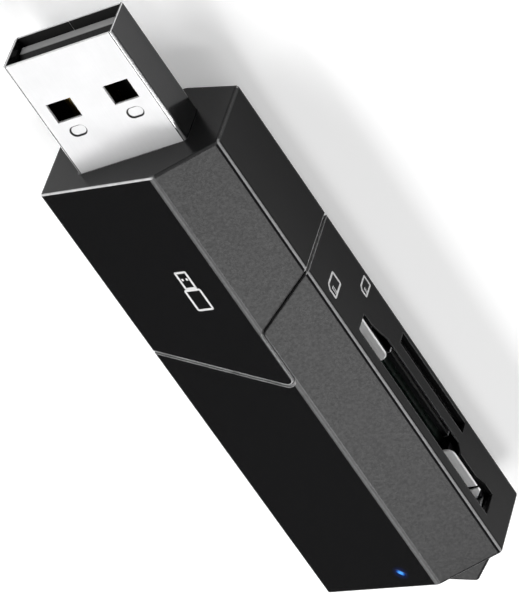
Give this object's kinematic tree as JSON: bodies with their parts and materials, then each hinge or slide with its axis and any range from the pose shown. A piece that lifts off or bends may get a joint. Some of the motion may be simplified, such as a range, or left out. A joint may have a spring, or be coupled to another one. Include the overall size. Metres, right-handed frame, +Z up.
{
  "type": "usb memory card reader",
  "caption": "Six-sided black stick reader with a standard plug at one end, two card slots stacked in one side and a pointed cord loop at the other end.",
  "frame": {"origin": "Centre of the object's box on the plane it rests on, under the body.", "axes": "+Y along the body towards the plug, +Z up from the resting facet, +X towards the side with the card slots."},
  "size_m": [0.021, 0.0724, 0.0128],
  "materials": {
    "shell_plastic": "satin black moulded plastic, fine grain",
    "plug_steel": "bright plated folded sheet",
    "tongue_plastic": "dark moulded plastic",
    "contact_metal": "gold-plated contact strip",
    "board": "green laminate",
    "chip_plastic": "black moulded package",
    "can_steel": "satin metal can",
    "capacitor_ceramic": "tan ceramic chip",
    "resistor_ceramic": "black-coated ceramic chip",
    "lamp": "clear-topped lamp package",
    "light_window": "clear pin, lit blue",
    "socket_plastic": "black moulded plastic",
    "socket_steel": "stamped plated sheet"
  },
  "bodies": {
    "root": {"front_shell": "shell_plastic", "rear_shell": "shell_plastic", "plug_shell": "plug_steel", "plug_tongue": "tongue_plastic", "circuit_board": "board", "controller_chip": "chip_plastic", "crystal": "can_steel", "capacitors": "capacitor_ceramic", "resistors": "resistor_ceramic", "activity_lamp": "lamp", "light_window": "light_window", "large_socket_base": "socket_plastic", "large_socket_cover": "socket_steel", "large_socket_plate_near": "socket_steel", "large_socket_plate_far": "socket_steel", "small_socket_base": "socket_plastic", "small_socket_cover": "socket_steel", "plug_contact_1": "contact_metal", "plug_contact_2": "contact_metal", "plug_contact_3": "contact_metal", "plug_contact_4": "contact_metal", "large_contact_1": "contact_metal", "large_contact_2": "contact_metal", "large_contact_3": "contact_metal", "large_contact_4": "contact_metal", "large_contact_5": "contact_metal", "large_contact_6": "contact_metal", "large_contact_7": "contact_metal", "large_contact_8": "contact_metal", "large_contact_9": "contact_metal", "small_contact_1": "contact_metal", "small_contact_2": "contact_metal", "small_contact_3": "contact_metal", "small_contact_4": "contact_metal", "small_contact_5": "contact_metal", "small_contact_6": "contact_metal", "small_contact_7": "contact_metal", "small_contact_8": "contact_metal"}
  },
  "joints": []
}
